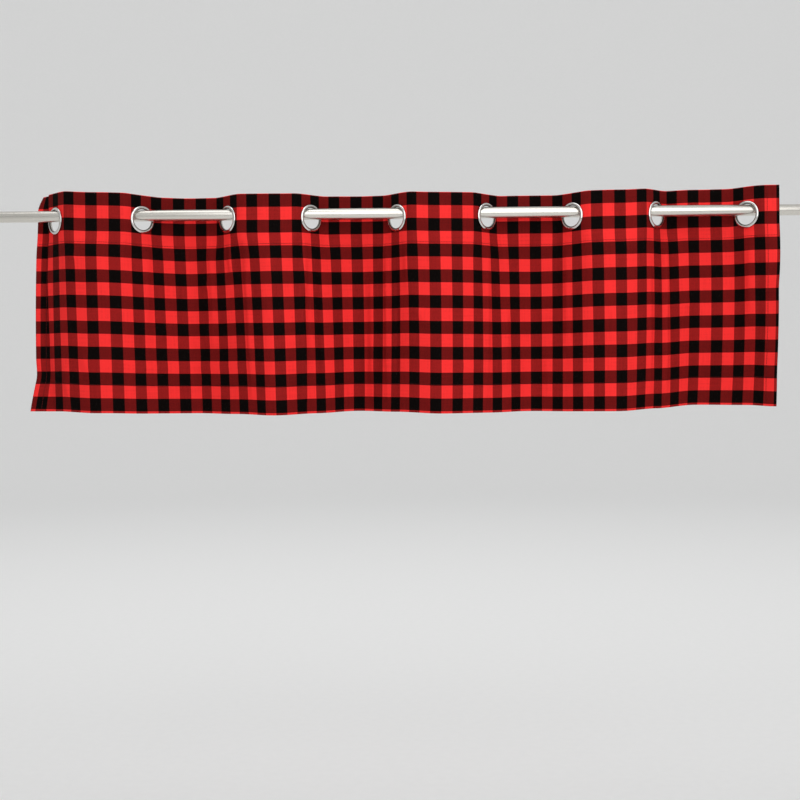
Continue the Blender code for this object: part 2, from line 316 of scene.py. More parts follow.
# Each row: points as (stripe, row of the check), half width and rise in millimetres.
CREASES = (
    # The left free end and the first fold.
    (((0.9, 4.0), (1.4, 9.0), (1.2, 15.5)), 6.0, -3.8),
    (((4.6, 4.7), (5.0, 5.3)), 10.0, -3.8),
    (((3.4, 13.5), (3.9, 16.6)), 7.0, -3.4),
    (((5.6, 12.3), (5.8, 14.2)), 11.0, -3.4),
    (((8.3, 12.3), (8.9, 12.7)), 12.0, -3.0),
    # Below the second and third eyelets.
    (((11.5, 3.8), (11.3, 8.0), (11.1, 12.0)), 9.0, -3.0),
    (((12.3, 10.8), (12.9, 11.2)), 12.0, -3.0),
    (((14.2, 6.5), (14.0, 12.0)), 8.0, -1.9),
    (((15.8, 11.4), (15.8, 12.2)), 7.0, -1.9),
    (((16.9, 6.6), (16.7, 7.4)), 12.0, -3.0),
    (((16.3, 10.0), (16.5, 11.0)), 12.0, -2.7),
    (((17.4, 3.8), (17.5, 8.0), (17.4, 11.6)), 7.0, -2.7),
    (((5.5, 13.2), (12.0, 13.6), (22.0, 13.3)), 12.0, -1.7),
    (((19.8, 3.8), (19.8, 6.2)), 6.0, -4.6),
    (((21.6, 3.8), (21.6, 9.0), (21.5, 16.0)), 6.0, -4.6),
    # Below the fourth eyelet: a long dark line with a light one beside it.
    (((27.3, 3.8), (26.8, 9.0), (26.9, 16.0)), 6.5, -5.4),
    (((28.8, 4.0), (28.7, 15.0)), 7.0, 2.2),
    # Below the middle eyelet.
    (((33.7, 5.5), (33.8, 16.2)), 6.0, -2.4),
    (((33.9, 12.0), (33.9, 14.6)), 7.0, -1.2),
    (((35.4, 3.8), (35.5, 10.0), (35.6, 16.2)), 5.0, -4.6),
    (((36.6, 5.5), (36.6, 16.2)), 4.0, 2.6),
    (((37.9, 3.8), (37.8, 7.4)), 7.0, -3.2),
    (((38.7, 9.1), (40.0, 10.4)), 11.0, -2.7),
    (((42.6, 13.5), (44.2, 13.6)), 11.0, -1.9),
    # Below the sixth and seventh eyelets.
    (((45.7, 3.8), (45.5, 10.0), (45.4, 16.0)), 6.0, -3.4),
    (((47.6, 8.8), (47.6, 14.0)), 7.0, -3.8),
    (((51.5, 12.5), (51.5, 16.0)), 8.0, -1.9),
    (((53.5, 3.8), (53.4, 12.3)), 6.0, -2.8),
    (((56.0, 6.5), (56.4, 8.5)), 9.0, -2.8),
    (((59.2, 4.3), (59.5, 5.0)), 10.0, -2.7),
    # Below the last two eyelets.
    (((61.4, 5.5), (61.5, 16.2)), 5.0, -3.4),
    (((61.9, 11.5), (61.9, 13.8)), 3.0, 1.6),
    (((63.8, 3.8), (63.5, 10.0), (63.5, 16.4)), 5.0, -5.7),
    (((65.6, 8.7), (65.8, 9.4)), 11.0, -2.5),
    (((71.6, 4.2), (71.5, 10.4)), 10.0, -4.6),
)


def distance_to_line(across, down, points):
    """Distance in metres from each place on the cloth to a crease, and its share along it."""
    nearest = np.full(across.shape, np.inf)
    share = np.zeros(across.shape)
    ends = [Vector((stripe * STRIPE_WIDE, row * STRIPE_TALL)) for stripe, row in points]
    lengths = [(b - a).length for a, b in zip(ends, ends[1:])]
    done = 0.0
    for start, end, length in zip(ends, ends[1:], lengths):
        step = (end - start) / length
        run = np.clip((across - start.x) * step.x + (down - start.y) * step.y, 0.0, length)
        away = np.hypot(across - start.x - run * step.x, down - start.y - run * step.y)
        closer = away < nearest
        nearest[closer] = away[closer]
        share[closer] = (done + run[closer]) / sum(lengths)
        done += length
    return nearest, share


def crease_relief(across, down):
    """Sum of all creases, in metres towards the room. Each is weaker towards both of its ends."""
    total = np.zeros(across.shape)
    for points, half_width, rise in CREASES:
        away, share = distance_to_line(across, down, points)
        body = np.exp(-((away / (half_width * MILLIMETRE)) ** 2))
        full = smooth(share / FADE_IN) * smooth((1.0 - share) / FADE_OUT)
        total += rise * MILLIMETRE * body * mix(CREASE_FLOOR, 1.0, full)
    return total


print("creases charted:", len(CREASES))

# %% [markdown]
# ## Hems
#
# The raw edges are turned twice and sewn down: a deep heading that stiffens the row of eyelets, a
# wide hem at the foot for weight, and narrow hems at the sides. A turned hem is three layers of
# cloth, so it is thicker, with a small step on the back where it ends. A row of stitches pulls
# the cloth in a little and leaves a fine pucker on both sides of it.

# %% Places of the hems and their stitching
HEADING_HEM = 0.101
FOOT_HEM = PANEL_TALL - 0.0585
SIDE_HEM = 0.025
STITCH_INSET = 0.002
PUCKER_RISE = 0.00028
PUCKER_REACH = 0.010
SEAM_SINK = 0.00022
SEAM_HALF_WIDTH = 0.0016

# Waves of a pucker: radians a metre along the seam, share, and start in radians.
PUCKER_WAVES = ((610.0, 1.0, 0.0), (437.0, 0.6, 1.3), (163.0, 0.5, 0.4))
PUCKER_SHARES = sum(share for _, share, _ in PUCKER_WAVES)

LEFT_EDGE = FIRST_STRIPE * STRIPE_WIDE
RIGHT_EDGE = LAST_STRIPE * STRIPE_WIDE
HEADING_STITCH = HEADING_HEM - STITCH_INSET
FOOT_STITCH = FOOT_HEM + STITCH_INSET
SIDE_STITCH = SIDE_HEM - STITCH_INSET


def pucker(run, reach):
    """A ripple along a row of stitches, uneven because its three waves never fall in step."""
    wave = sum(share * np.sin(run * pace + start) for pace, share, start in PUCKER_WAVES)
    return PUCKER_RISE * wave / PUCKER_SHARES * np.exp(-((reach / PUCKER_REACH) ** 2))


def seam_relief(across, down):
    """Furrow and puckers of the heading, foot and side stitching, in metres towards the room."""
    total = np.zeros(across.shape)
    for depth in (HEADING_STITCH, FOOT_STITCH):
        reach = down - depth
        total += pucker(across + depth, reach)
        total -= SEAM_SINK * np.exp(-((reach / SEAM_HALF_WIDTH) ** 2))
    for place in (LEFT_EDGE + SIDE_STITCH, RIGHT_EDGE - SIDE_STITCH):
        reach = across - place
        total += pucker(down + place, reach)
        total -= SEAM_SINK * np.exp(-((reach / SEAM_HALF_WIDTH) ** 2))
    return total


def in_hem(across, down):
    """1 where the cloth is turned over and sewn, 0 where it is single."""
    sides = (across < LEFT_EDGE + SIDE_HEM) | (across > RIGHT_EDGE - SIDE_HEM)
    return ((down < HEADING_HEM) | (down > FOOT_HEM) | sides).astype(float)


print(f"heading {HEADING_HEM * 1000:.0f} mm, foot hem {(PANEL_TALL - FOOT_HEM) * 1000:.0f} mm")

# %% [markdown]
# ## From flat cloth to hung cloth
#
# One function takes any place on the flat cloth and gives its place in the room. The cloth itself,
# its stitches and anything else that lies on it all use this function, so nothing can drift off
# the surface. Between the depths where the folds were fitted it follows a smooth curve.


# %% Places on the hung cloth
def between_depths(values, down):
    """Values kept at each plan depth, read at depths in between along a smooth curve."""
    slopes = np.gradient(values, PLAN_DEPTHS, axis=0)
    row = np.clip(np.searchsorted(PLAN_DEPTHS, down, side="right") - 1, 0, len(PLAN_DEPTHS) - 2)
    height = PLAN_DEPTHS[row + 1] - PLAN_DEPTHS[row]
    t = (down - PLAN_DEPTHS[row]) / height
    column = np.arange(len(down))
    start, end = values[row, column], values[row + 1, column]
    leaving, arriving = slopes[row, column] * height, slopes[row + 1, column] * height
    gap = end - start
    square = 3 * gap - 2 * leaving - arriving
    cube = leaving + arriving - 2 * gap
    return start + t * (leaving + t * (square + t * cube))


def middle_of_cloth(across, down):
    """Points of the hung cloth without its creases, for flat lists of places on the cloth."""
    stripes = across / STRIPE_WIDE
    sampled = np.array([[np.interp(stripes, PLAN_STRIPES, line) for line in plan] for plan in PLANS])
    x = between_depths(sampled[:, 0], down)
    y = between_depths(sampled[:, 1], down)
    return np.stack([x, y, TOP_ABOVE_ROD + lift_at(stripes) - down], axis=1)


NUDGE = 0.0005


def hung(across, down, out=0.0):
    """Points on the hung cloth with its creases, raised by out metres towards the room."""
    right = middle_of_cloth(across + NUDGE, down) - middle_of_cloth(across - NUDGE, down)
    below = middle_of_cloth(across, down + NUDGE) - middle_of_cloth(across, down - NUDGE)
    normals = np.cross(below, right)
    normals /= -np.linalg.norm(normals, axis=1, keepdims=True)
    relief = crease_relief(across, down) + seam_relief(across, down) + out
    return middle_of_cloth(across, down) + normals * relief[:, None], normals


TEST_ACROSS = 0.8
TEST_DOWN = 0.2
test_point, test_normal = hung(np.array([TEST_ACROSS]), np.array([TEST_DOWN]))
print("a place on the cloth:", test_point.round(3), "faces", test_normal.round(2))

# %% [markdown]
# ## Helpers for making pieces
#
# Every piece ends the same way: its mesh becomes an object at the origin, it takes a material and
# a material slot, it rides on the frame's one body, and any plain solids it stands for are hidden.


# %% Turn a bmesh into a finished piece
def piece_from(name, shape, material, stands_for=()):
    """A finished object from a bmesh, shaded smooth, in place of the named solids."""
    mesh = bpy.data.meshes.new(name)
    shape.to_mesh(mesh)
    shape.free()
    made = bpy.data.objects.new(name, mesh)
    bpy.context.scene.collection.objects.link(made)
    mesh.materials.append(material)
    mesh.shade_smooth()
    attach(made, "root")
    if stands_for:
        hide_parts(*stands_for)
    return made


print("helper ready")

# %% [markdown]
# ## Writing materials as sums
#
# Shader graphs are easier to read as formulas. A small class wraps the socket that carries a value
# and gives it Python's own operators, so that `1 - mask` or `red * blue` adds the Math node it
# needs. A second class holds the material and adds any other node through one method.


# %% A value in a material
class Signal:
    """A socket that carries a value or a colour. Operators on it add Math nodes."""

    def __init__(self, paint, socket):
        self.paint = paint
        self.socket = socket

    def math(self, operation, first, second=0.0):
        return self.paint.node("Math", {"operation": operation}, {0: first, 1: second})

    def __add__(self, other):
        return self.math("ADD", self, other)

    def __sub__(self, other):
        return self.math("SUBTRACT", self, other)

    def __rsub__(self, other):
        return self.math("SUBTRACT", other, self)

    def __mul__(self, other):
        return self.math("MULTIPLY", self, other)

    def __truediv__(self, other):
        return self.math("DIVIDE", self, other)

    __radd__ = __add__
    __rmul__ = __mul__

    def ping_pong(self, scale):
        """Runs up to scale and back down again, over and over."""
        return self.math("PINGPONG", self, scale)

    def sine(self):
        return self.math("SINE", self)

    def without_sign(self):
        return self.math("ABSOLUTE", self)

    def stepped(self, low, high):
        """0 below low and 1 above high, with a soft step between them."""
        settings = {"interpolation_type": "SMOOTHSTEP"}
        limits = {"Value": self, "From Min": low, "From Max": high}
        return self.paint.node("MapRange", settings, limits)


# %% A material that is written as formulas
# Socket numbers: the two colours and the result of a Mix node, and Object of Texture Coordinate.
MIX_A = 6
MIX_B = 7
MIX_RESULT = 2
OBJECT_PLACE = 3


class Paint:
    """A material with one Principled shader, and one method that adds any node to it."""

    def __init__(self, name, uniform):
        self.material = bpy.data.materials.new(name)
        self.material.use_nodes = True
        self.tree = self.material.node_tree
        self.shader = self.tree.nodes["Principled BSDF"]
        self.feed(self.shader, uniform)

    def feed(self, node, values):
        """Links each value that is a Signal to its socket, and sets the plain ones."""
        for place, value in values.items():
            if isinstance(value, Signal):
                self.tree.links.new(value.socket, node.inputs[place])
            else:
                node.inputs[place].default_value = value

    def node(self, kind, settings, values, output=0):
        made = self.tree.nodes.new("ShaderNode" + kind)
        for key, value in settings.items():
            setattr(made, key, value)
        self.feed(made, values)
        return Signal(self, made.outputs[output])

    def colour(self, share, first, second):
        """first where share is 0 and second where it is 1."""
        settings = {"data_type": "RGBA"}
        return self.node("Mix", settings, {0: share, MIX_A: first, MIX_B: second}, MIX_RESULT)

    def object_place(self):
        """The place on the piece, in metres from its origin."""
        return self.node("TexCoord", {}, {}, OBJECT_PLACE)

    def flat_place(self, name):
        """The two numbers of a UV map, as two signals."""
        parts = self.tree.nodes.new("ShaderNodeSeparateXYZ")
        self.feed(parts, {0: self.node("UVMap", {"uv_map": name}, {})})
        return Signal(self, parts.outputs[0]), Signal(self, parts.outputs[1])

    def noise(self, vector, scale, detail=2.0, stretch=(1.0, 1.0, 1.0)):
        placed = self.node("Mapping", {}, {"Vector": vector, "Scale": stretch})
        return self.node("TexNoise", {}, {"Vector": placed, "Scale": scale, "Detail": detail})

    def bump(self, height, distance, strength, **over):
        """A relief, laid over another one where its Normal is given too."""
        values = {"Height": height, "Distance": distance, "Strength": strength, **over}
        return self.node("Bump", {}, values)

    def finish(self, **parts):
        self.feed(self.shader, {key.replace("_", " "): value for key, value in parts.items()})
        return self.material


print("material helpers ready")

# %% [markdown]
# ## Check cotton
#
# A two-colour check needs no printing. Warp yarns in stripes of red and black cross weft yarns in
# the same stripes: where both are red the square is red, where both are black it is black, and
# where they differ the eye mixes them. The weft lies a little prouder here, so the two mixed
# squares aren't alike. The pattern is worked out from the cloth's own UV map, in metres, so it
# bends with every fold.

# %% The check and its weave
RED = (0.93, 0.033, 0.032, 1.0)
BLACK = (0.0026, 0.0014, 0.0012, 1.0)
YARN = 0.0008
RED_HAIRLINE = 0.0009
RED_OVER_BLACK_WARP = 0.31
RED_UNDER_BLACK_WEFT = 0.155
YARN_CONTRAST = 0.30
EDGE_SOFTNESS = 0.018
YARN_CROSSING = 0.35
SLUB_SCALE = 260.0
SLUB_STRETCH = 0.05
SLUB_STRENGTH = 0.35
FADING_SCALE = 9.0
FADING_STRENGTH = 0.16
CROWN_SHARE = 0.6
CROWN_HEIGHT = 0.00012
CRINKLE_SCALE = 55.0
CRINKLE_HEIGHT = 0.0009
COTTON_ROUGHNESS = 0.82


def check_cloth():
    paint = Paint("red_black_check", {"Specular IOR Level": 0.045, "Sheen Weight": 0.0})
    place = paint.node("UVMap", {"uv_map": "cloth"}, {})
    across, down = paint.flat_place("cloth")

    warp = (across / STRIPE_WIDE - 0.5).ping_pong(1.0)
    weft = ((down - RED_HAIRLINE) / STRIPE_TALL - 0.5).ping_pong(1.0)
    red_warp = warp.stepped(0.5 - EDGE_SOFTNESS, 0.5 + EDGE_SOFTNESS)
    red_weft = weft.stepped(0.5 - EDGE_SOFTNESS, 0.5 + EDGE_SOFTNESS)

    over = (across * (math.pi / YARN)).sine() * (down * (math.pi / YARN)).sine()
    warp_on_top = over.stepped(-YARN_CROSSING, YARN_CROSSING)
    contrast = (warp_on_top - 0.5) * (2.0 * YARN_CONTRAST)
    red_weft_only = red_weft * (1 - red_warp) * RED_OVER_BLACK_WARP * (1 - contrast)
    red_warp_only = red_warp * (1 - red_weft) * RED_UNDER_BLACK_WEFT * (1 + contrast)
    share = red_warp * red_weft + red_weft_only + red_warp_only

    weft_slubs = paint.noise(place, SLUB_SCALE, 3.0, (SLUB_STRETCH, 1.0, 1.0))
    warp_slubs = paint.noise(place, SLUB_SCALE, 3.0, (1.0, SLUB_STRETCH, 1.0))
    fading = paint.noise(place, FADING_SCALE, 3.0)
    slubs = (weft_slubs + warp_slubs - 1.0) * SLUB_STRENGTH
    tone = 1 + slubs + (fading - 0.5) * FADING_STRENGTH
    lit = paint.colour(share * tone, BLACK, RED)

    crown = over * over * CROWN_SHARE + slubs
    crinkle = paint.noise(place, CRINKLE_SCALE, 4.0, (1.0, 0.45, 1.0))
    yarn_bump = paint.bump(crown, CROWN_HEIGHT, 0.6)
    bumped = paint.bump(crinkle, CRINKLE_HEIGHT, 0.5, Normal=yarn_bump)
    roughness = COTTON_ROUGHNESS + slubs * 0.2
    return paint.finish(Base_Color=lit, Roughness=roughness, Normal=bumped)


CLOTH = check_cloth()
print("material", CLOTH.name, "with", len(CLOTH.node_tree.nodes), "nodes")

# %% [markdown]
# ## The valance panel
#
# The panel starts as a flat grid the size of the cut cloth, with extra lines beside every hem so
# that the step of the hem is crisp. The eyelet holes are opened in the flat, where they are plain
# circles: the squares inside are deleted and the edge that is left is drawn onto the circle. Only
# then does every point move to its hanging place. A Solidify modifier gives the thickness, twice
# as thick in the hems as in the single cloth.

# %% Lines of the flat grid
CELL = 0.0041
LINE_PAIR = 0.0004
HOLE_RADIUS = 0.0227


def grid_lines(start, end, hem_edges):
    """Places of grid lines, evenly spaced, with a close pair at each hem's edge."""
    stops = [start, *[edge + side for edge in hem_edges for side in (-LINE_PAIR, LINE_PAIR)], end]
    lines = [start]
    for first, second in zip(stops, stops[1:]):
        count = max(1, round((second - first) / CELL))
        lines.extend(np.linspace(first, second, count + 1)[1:])
    return np.array(lines)


ACROSS_LINES = grid_lines(LEFT_EDGE, RIGHT_EDGE, (LEFT_EDGE + SIDE_HEM, RIGHT_EDGE - SIDE_HEM))
DOWN_LINES = grid_lines(0.0, PANEL_TALL, (HEADING_HEM, FOOT_HEM))
print("grid of", len(ACROSS_LINES), "by", len(DOWN_LINES), "lines")


# %% Where the eyelets are on the flat cloth and in the room
def ring_drop(tilt):
    """How far an eyelet's centre hangs below the rod's axis when its rim rests on the rod."""
    tall = RIM_CENTRE_RADIUS
    wide = RIM_CENTRE_RADIUS * math.sin(tilt)
    reach = ROD_RADIUS + RIM_RADIUS + ROD_GAP
    drop = math.sqrt((tall**2 - wide**2) * (1.0 - (reach / wide) ** 2))
    touches_at_sides = tall * drop < tall**2 - wide**2
    return drop if touches_at_sides else tall - reach


def hole_on_cloth(eyelet):
    """Centre of the eyelet's hole on the flat cloth, across and down."""
    depth = TOP_ABOVE_ROD + lift_at(eyelet.stripe) + ring_drop(math.radians(eyelet.tilt))
    return eyelet.stripe * STRIPE_WIDE, depth


def eyelet_frame(number, eyelet):
    """Place of an eyelet: X along the cloth, Y up and Z out of the cloth's face to the room."""
    tilt = math.radians(eyelet.tilt) * (-1.0 if number % 2 == 0 else 1.0)
    along = Vector((math.cos(tilt), math.sin(tilt), 0.0))
    up = Vector((0.0, 0.0, 1.0))
    turned = Matrix((along, up, along.cross(up))).transposed().to_4x4()
    return Matrix.Translation((eyelet.along, 0.0, -ring_drop(abs(tilt)))) @ turned


HOLES = [hole_on_cloth(eyelet) for eyelet in EYELETS]
print("holes at depths", [round(down * 1000, 1) for _, down in HOLES], "mm")


# %% Flat panel with round holes
def flat_panel():
    """The cut cloth as a flat grid: X runs across and Y down, in metres."""
    columns, rows = len(ACROSS_LINES) - 1, len(DOWN_LINES) - 1
    flat = bmesh.new()
    bmesh.ops.create_grid(flat, x_segments=columns, y_segments=rows, size=1.0)
    for vert in flat.verts:
        column = round((vert.co.x + 1.0) / 2.0 * columns)
        row = round((vert.co.y + 1.0) / 2.0 * rows)
        vert.co = Vector((ACROSS_LINES[column], DOWN_LINES[row], 0.0))
    for centre in HOLES:
        open_hole(flat, Vector((*centre, 0.0)))
    return flat


def open_hole(flat, centre):
    """Deletes the squares inside a hole and draws the edge that is left onto the circle."""
    inside = [f for f in flat.faces if (f.calc_center_median() - centre).length < HOLE_RADIUS]
    bmesh.ops.delete(flat, geom=inside, context="FACES")
    near = [v for v in flat.verts if (v.co - centre).length < HOLE_RADIUS + 2.0 * CELL]
    for vert in near:
        if vert.is_boundary:
            vert.co = centre + (vert.co - centre).normalized() * HOLE_RADIUS


flat_cloth = flat_panel()
print("flat panel with", len(flat_cloth.faces), "squares")


# %% Hang the panel
def hang_panel(flat):
    """Keeps each point's flat place as its UV, then moves it to its hanging place."""
    uv_layer = flat.loops.layers.uv.new("cloth")
    for face in flat.faces:
        for loop in face.loops:
            loop[uv_layer].uv = loop.vert.co.xy
    places = np.array([vert.co.xy for vert in flat.verts])
    points, _ = hung(places[:, 0], places[:, 1], HEM_THICK / 2.0)
    for vert, point in zip(flat.verts, points):
        vert.co = Vector(point)
    bmesh.ops.recalc_face_normals(flat, faces=flat.faces)
    return places


cloth_places = hang_panel(flat_cloth)
facing_room = sum(face.normal.y < 0.0 for face in flat_cloth.faces) / len(flat_cloth.faces)
if facing_room < 0.5:
    bmesh.ops.reverse_faces(flat_cloth, faces=flat_cloth.faces)
valance = piece_from("valance_cloth", flat_cloth, CLOTH, ["valance_panel"])

hem_group = valance.vertex_groups.new(name="hems")
in_hems = np.nonzero(in_hem(cloth_places[:, 0], cloth_places[:, 1]))[0]
hem_group.add([int(index) for index in in_hems], 1.0, "REPLACE")

thickness = valance.modifiers.new("Thickness", "SOLIDIFY")
thickness.thickness = HEM_THICK
thickness.offset = -1.0
thickness.use_even_offset = True
thickness.vertex_group = "hems"
thickness.thickness_vertex_group = SINGLE_THICK / HEM_THICK
print("valance hung,", f"{facing_room:.2f} of it faces the room")

# %% [markdown]
# ## Stitching
#
# A lockstitch shows as a row of short thread bars on each side of the cloth. Each bar is a small
# stretched ball that lies along its seam, half sunk in the cloth. The places come from the same
# `hung` function as the cloth, so that the thread follows every fold. There are hundreds of
# stitches, so each is made with few faces, in a small mesh of its own, and then added to its row:
# an operator that works in the row itself would slow down as the row grows.

# %% Thread
THREAD = (0.17, 0.010, 0.012, 1.0)
THREAD_DARK = (0.05, 0.004, 0.005, 1.0)


def thread_material():
    paint = Paint("dark_red_thread", {"Sheen Weight": 0.0, "Specular IOR Level": 0.15})
    place = paint.object_place()
    twist = paint.noise(place, 900.0, 2.0)
    batch = paint.noise(place, 6.0, 2.0)
    lit = paint.colour(twist * 0.6 + batch * 0.4, THREAD_DARK, THREAD)
    return paint.finish(
        Base_Color=lit, Roughness=0.5 + twist * 0.3, Normal=paint.bump(twist, 0.0001, 0.5)
    )


THREAD_MATERIAL = thread_material()
STITCH_PITCH = 0.0032
STITCH_LENGTH = 0.0026
STITCH_WIDE = 0.00055
STITCH_THICK = 0.00040
STITCH_SIDES = 6
STITCH_RINGS = 5


def stitch_frames(across, down, out):
    """Places and turns for stitches, one between each pair of neighbouring places on the cloth."""
    points, normals = hung(across, down, out)
    for start, end, normal in zip(points, points[1:], normals):
        along = Vector(end - start).normalized()
        face = Vector(normal)
        side = face.cross(along).normalized()
        turned = Matrix((along, side, along.cross(side))).transposed().to_4x4()
        yield Matrix.Translation(Vector(start + end) / 2.0) @ turned


def one_stitch():
    """A small stretched ball at the origin, its length along X."""
    ball = bmesh.new()
    size = Matrix.Diagonal((STITCH_LENGTH / 2.0, STITCH_WIDE / 2.0, STITCH_THICK / 2.0, 1.0))
    lying = size @ Matrix.Rotation(math.pi / 2.0, 4, "Y")
    bmesh.ops.create_uvsphere(
        ball, u_segments=STITCH_SIDES, v_segments=STITCH_RINGS, radius=1.0, matrix=lying
    )
    mesh = bpy.data.meshes.new("stitch")
    ball.to_mesh(mesh)
    ball.free()
    return mesh


def sew(name, across, down, out):
    """A row of stitches as one piece."""
    row = bmesh.new()
    for place in stitch_frames(across, down, out):
        stitch = one_stitch()
        stitch.transform(place)
        row.from_mesh(stitch)
        bpy.data.meshes.remove(stitch)
    return piece_from(name, row, THREAD_MATERIAL)


# %% Sew the hems, on the face and on the back
THREAD_OUT = HEM_THICK / 2.0 + 0.00005
EDGE_INSET = 0.003


def seam_line(start, end):
    """Places along a seam, one stitch apart."""
    return np.arange(start + EDGE_INSET, end - EDGE_INSET, STITCH_PITCH)


for side, out in (("face", THREAD_OUT), ("back", -THREAD_OUT)):
    for seam, depth in (("heading", HEADING_STITCH), ("foot", FOOT_STITCH)):
        across = seam_line(LEFT_EDGE, RIGHT_EDGE)
        sew(f"{seam}_stitches_{side}", across, np.full(len(across), depth), out)
    for seam, place in (("left", LEFT_EDGE + SIDE_STITCH), ("right", RIGHT_EDGE - SIDE_STITCH)):
        down = seam_line(0.0, PANEL_TALL)
        sew(f"{seam}_stitches_{side}", np.full(len(down), place), down, out)

# %% [markdown]
# ## Metal
#
# The rod has a satin finish, brushed along its length, so its grain is noise stretched far along
# X. The eyelets are polished nickel: nearly a mirror, with a soft haze and the fine hairlines that
# handling leaves. The line that is pressed around the hole is painted dark, as painted shade in the
# groove. Both are pure metal, so the shine itself carries the colour.

# %% Satin rod and polished eyelets
SATIN_LIGHT = (0.80, 0.775, 0.72, 1.0)
SATIN_DARK = (0.62, 0.595, 0.54, 1.0)
NICKEL_LIGHT = (0.82, 0.805, 0.78, 1.0)
NICKEL_DARK = (0.62, 0.61, 0.59, 1.0)
# Painted shade: a dark ring painted into the eyelets' colour along the pressed groove, where they
# look shaded.
GROOVE_PAINTED_SHADE = (0.075, 0.072, 0.070, 1.0)
GROOVE_SHADE_RADIUS = 0.0216
GROOVE_SHADE_HALF = 0.0010
GROOVE_SHADE_STRENGTH = 0.85
FACE_STARTS = 0.0005
FACE_WHOLE = 0.0010


def satin_material():
    paint = Paint("satin_nickel_rod", {"Metallic": 1.0})
    place = paint.object_place()
    grain = paint.noise(place, 700.0, 3.0, (0.012, 1.0, 1.0))
    smudge = paint.noise(place, 14.0, 3.0, (0.5, 1.0, 1.0))
    lit = paint.colour(grain * 0.6 + smudge * 0.4, SATIN_DARK, SATIN_LIGHT)
    roughness = 0.20 + grain * 0.10 + smudge * 0.05
    return paint.finish(Base_Color=lit, Roughness=roughness, Normal=paint.bump(grain, 0.00004, 0.5))


def nickel_material():
    paint = Paint("polished_nickel", {"Metallic": 1.0})
    place = paint.object_place()
    radius, height = paint.flat_place("section")
    # Painted shade in the pressed groove on the face: the colour is darkened and the roughness
    # raised there.
    from_line = (radius - GROOVE_SHADE_RADIUS).without_sign()
    painted_groove_shade = 1 - from_line.stepped(GROOVE_SHADE_HALF * 0.5, GROOVE_SHADE_HALF * 1.5)
    dark = painted_groove_shade * height.stepped(FACE_STARTS, FACE_WHOLE)
    haze = paint.noise(place, 60.0, 3.0)
    hairlines = paint.noise(place, 1500.0, 2.0, (1.0, 1.0, 0.06))
    unshaded_nickel = paint.colour(haze, NICKEL_DARK, NICKEL_LIGHT)
    lit = paint.colour(dark * GROOVE_SHADE_STRENGTH, unshaded_nickel, GROOVE_PAINTED_SHADE)
    roughness = 0.05 + haze * 0.08 + hairlines * 0.04 + dark * 0.15
    bumped = paint.bump(hairlines, 0.00002, 0.25)
    return paint.finish(Base_Color=lit, Roughness=roughness, Normal=bumped)


SATIN = satin_material()
NICKEL = nickel_material()
print("metals ready:", SATIN.name, NICKEL.name)

# %% [markdown]
# ## The curtain rod
#
# The rod is a plain round bar. Its ends are cut square and the sharp edge is taken off, which a
# bevel does. Brackets and finials aren't seen, so there are none.

# %% Turn the rod
ROD_SIDES = 160
END_ROUNDING = 0.0009


def rod_shape():
    rod = bmesh.new()
    bmesh.ops.create_cone(
        rod,
        cap_ends=True,
        segments=ROD_SIDES,
        radius1=ROD_RADIUS,
        radius2=ROD_RADIUS,
        depth=ROD_LENGTH,
        matrix=Matrix.Rotation(math.pi / 2.0, 4, "Y"),
    )
    caps = [face for face in rod.faces if len(face.verts) == ROD_SIDES]
    rims = [edge for cap in caps for edge in cap.edges]
    bmesh.ops.bevel(
        rod,
        geom=rims,
        offset=END_ROUNDING,
        affect="EDGES",
        segments=4,
        profile=0.5,
        material=-1,
    )
    return rod


rod_piece = piece_from("satin_rod", rod_shape(), SATIN, ["curtain_rod"])
rod_piece.data.set_sharp_from_angle(angle=math.radians(40))
print("rod", [round(size, 4) for size in rod_piece.dimensions])

# %% [markdown]
# ## The eyelets
#
# An eyelet is two pressed parts. The face ring is a domed flange with a barrel that passes through
# the hole, and the washer on the back fits round the end of the barrel. Each is a section spun
# around the hole's axis. The section keeps inside a round rim, so that the ring sits on the rod
# just where the frame says.

# %% Sections of the two rings
RING_STEPS = 96
FACE_REST = HEM_THICK / 2.0 + 0.0003
BARREL_RADIUS = 0.0220
BARREL_BACK = 0.0020
WASHER_BORE = 0.0223
EDGE_LIP = 0.0004
EDGE_INWARD = 0.00016
RIM_OUTER = 180.0 - math.degrees(math.asin((FACE_REST + EDGE_LIP) / RIM_RADIUS))
FACE_DOME_POINTS = 30
WASHER_DOME_POINTS = 20
GROOVE_DEEP = 0.00035
GROOVE_DEGREES = 42.0
GROOVE_HALF = 5.0
GROOVE_FLOOR_HALF = 4.5


def rim_point(degrees, radius=RIM_RADIUS):
    """A point on the rim's round section, counted from its inner side over the face outwards."""
    angle = math.radians(degrees)
    return RIM_CENTRE_RADIUS - radius * math.cos(angle), radius * math.sin(angle)


def face_ring_section():
    """Section of the face ring: barrel, dome with a fine pressed groove, flange edge."""
    inner = -math.degrees(math.asin(BARREL_BACK / RIM_RADIUS))
    groove_edges = [GROOVE_DEGREES - GROOVE_HALF, GROOVE_DEGREES + GROOVE_HALF]
    degrees = sorted([*np.linspace(inner, RIM_OUTER, FACE_DOME_POINTS), *groove_edges])
    dome = []
    for value in degrees:
        in_groove = abs(value - GROOVE_DEGREES) < GROOVE_FLOOR_HALF
        dome.append(rim_point(value, RIM_RADIUS - (GROOVE_DEEP if in_groove else 0.0)))
    edge = (dome[-1][0] - EDGE_INWARD, FACE_REST)
    return [*dome, edge, (BARREL_RADIUS, FACE_REST), (BARREL_RADIUS, -BARREL_BACK)]


def washer_section():
    """Section of the back washer: a plain dome around the barrel's end."""
    inner = math.degrees(math.acos((RIM_CENTRE_RADIUS - WASHER_BORE) / RIM_RADIUS))
    dome = [rim_point(value) for value in np.linspace(inner, RIM_OUTER, WASHER_DOME_POINTS)]
    edge = (dome[-1][0] - EDGE_INWARD, FACE_REST)
    return [(radius, -height) for radius, height in [*dome, edge, (WASHER_BORE, FACE_REST)]]


print("face ring section has", len(face_ring_section()), "points")


